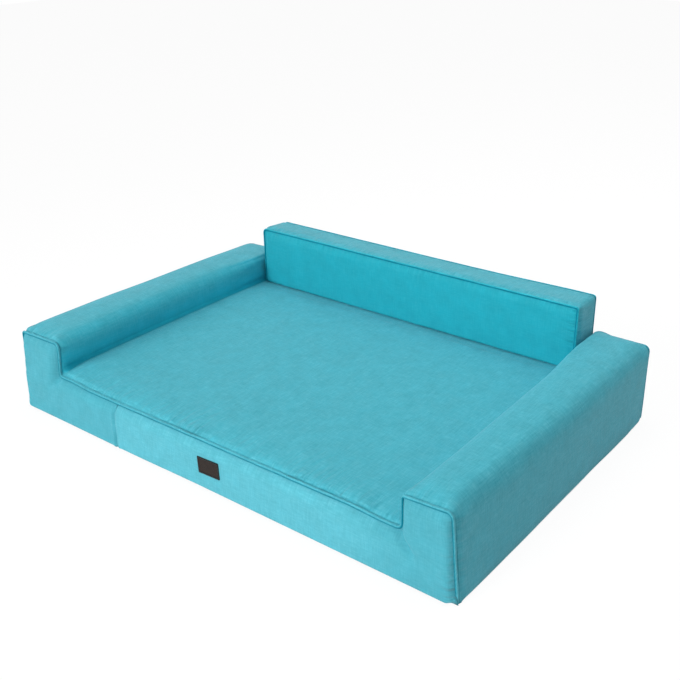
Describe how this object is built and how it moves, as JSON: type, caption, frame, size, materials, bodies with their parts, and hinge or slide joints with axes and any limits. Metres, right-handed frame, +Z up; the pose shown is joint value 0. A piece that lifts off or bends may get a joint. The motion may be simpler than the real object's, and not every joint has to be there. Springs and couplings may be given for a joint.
{
  "type": "dog bed",
  "caption": "Sofa-shaped dog bed: corded foam body with low arms either side of a mattress, and an upholstered backrest that lifts off; zipped covers.",
  "frame": {"origin": "middle of the bed on the floor, under its underside", "axes": "+X along the front to the right as seen from the front, +Y from the front to the back, +Z up"},
  "size_m": [1.006, 0.6826, 0.2355],
  "materials": {
    "cover_cloth": "matte",
    "piping": "matte",
    "underside_cloth": "matte",
    "foam": "matte",
    "hook_and_loop": "matte",
    "label": "satin",
    "zip_tape": "matte",
    "zip_coil": "satin",
    "zip_metal": "satin"
  },
  "bodies": {
    "base": {"mattress_foam": "foam", "left_arm_foam": "foam", "right_arm_foam": "foam", "base_cover_wrap": "cover_cloth", "bottom_panel": "underside_cloth", "front_panel_left": "cover_cloth", "front_panel_right": "cover_cloth", "rear_panel": "cover_cloth", "base_front_piping": "piping", "base_rear_piping": "piping", "label_patch": "label", "base_loop_strips": "hook_and_loop", "base_zip_tape_lower": "zip_tape", "base_zip_tape_upper": "zip_tape", "base_zip_coil_lower": "zip_coil", "base_zip_coil_upper": "zip_coil", "base_zip_stops": "zip_metal"},
    "backrest": {"backrest_foam": "foam", "backrest_front_panel": "cover_cloth", "backrest_rear_panel": "cover_cloth", "backrest_boxing": "cover_cloth", "backrest_front_piping": "piping", "backrest_rear_piping": "piping", "backrest_hook_strips": "hook_and_loop", "backrest_zip_tape_lower": "zip_tape", "backrest_zip_tape_upper": "zip_tape", "backrest_zip_coil_lower": "zip_coil", "backrest_zip_coil_upper": "zip_coil", "backrest_zip_stops": "zip_metal"},
    "base_zip_slider": {"base_zip_slider": "zip_metal"},
    "base_zip_pull": {"base_zip_pull": "zip_metal"},
    "backrest_zip_slider": {"backrest_zip_slider": "zip_metal"},
    "backrest_zip_pull": {"backrest_zip_pull": "zip_metal"}
  },
  "joints": [
    {"name": "backrest_lift", "type": "slide", "parent": "base", "child": "backrest", "axis": [0, 0, 1], "range_m": [0, 0.15]},
    {"name": "base_zip_run", "type": "slide", "parent": "base", "child": "base_zip_slider", "axis": [-1, 0, 0], "range_m": [0, 0.8494]},
    {"name": "base_zip_pull_swing", "type": "hinge", "parent": "base_zip_slider", "child": "base_zip_pull", "pos_m": [0.4247, 0.3408, 0.028], "axis": [0, 0, -1], "range_deg": [0, 170]},
    {"name": "backrest_zip_run", "type": "slide", "parent": "backrest", "child": "backrest_zip_slider", "axis": [-1, 0, 0], "range_m": [0, 0.6294]},
    {"name": "backrest_zip_pull_swing", "type": "hinge", "parent": "backrest_zip_slider", "child": "backrest_zip_pull", "pos_m": [0.3147, 0.3308, 0.1338], "axis": [0, 0, -1], "range_deg": [0, 170]}
  ]
}
